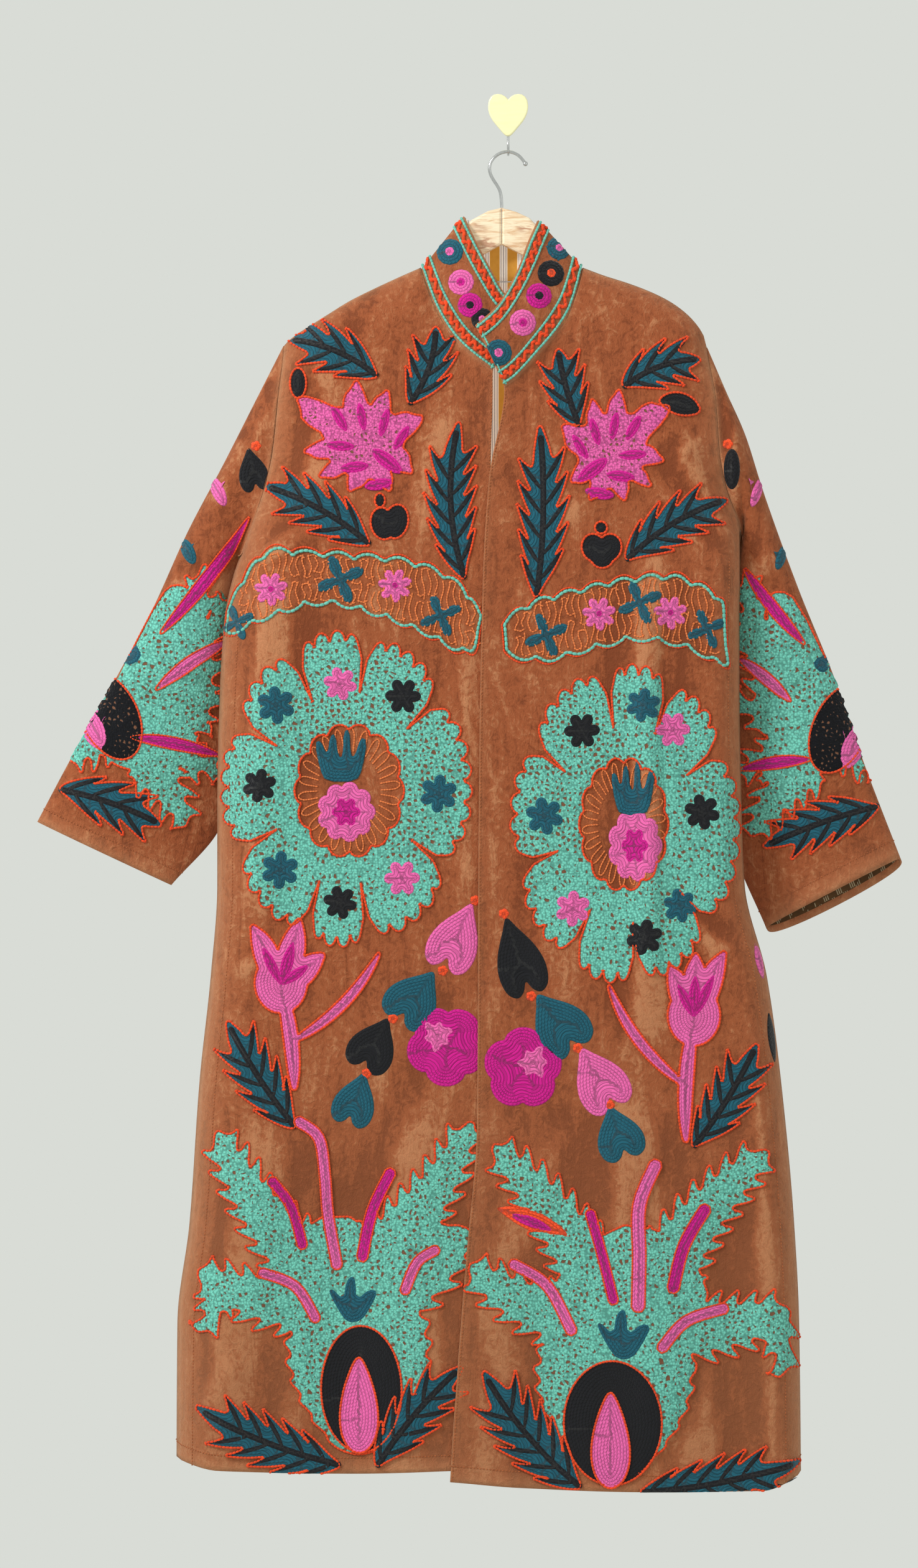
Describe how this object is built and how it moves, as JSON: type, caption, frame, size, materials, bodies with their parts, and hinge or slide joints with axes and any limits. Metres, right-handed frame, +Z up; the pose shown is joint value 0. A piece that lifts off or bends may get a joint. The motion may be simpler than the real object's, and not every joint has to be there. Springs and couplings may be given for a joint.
{
  "type": "velvet robe on a wooden hanger",
  "caption": "Long open-front velvet robe with a lapped stand collar, set-in sleeves and chain-stitch flowers, on a wooden hanger held by a small wall hook.",
  "frame": {"origin": "middle of the heart-shaped plaque's back face, on the wall", "axes": "+Z up, +Y into the wall, -Y the robe's front, +X the wearer's left"},
  "size_m": [0.858, 0.1047, 1.3835],
  "materials": {
    "velvet": "crushed cotton velvet with wool chain stitch",
    "striped_lining": "plain woven cotton, striped",
    "hanger_wood": "satin varnished pale wood",
    "hook_wire": "polished",
    "plaque": "pale satin lacquer"
  },
  "bodies": {
    "root": {"back": "velvet", "left_front": "velvet", "right_front": "velvet", "left_sleeve": "velvet", "right_sleeve": "velvet", "collar": "velvet", "collar_lining": "striped_lining", "back_lining": "striped_lining", "left_cuff_lining": "striped_lining", "hanger_left_arm": "hanger_wood", "hanger_right_arm": "hanger_wood", "hanger_hook": "hook_wire", "wall_plate": "plaque", "wall_hook": "hook_wire"}
  },
  "joints": []
}
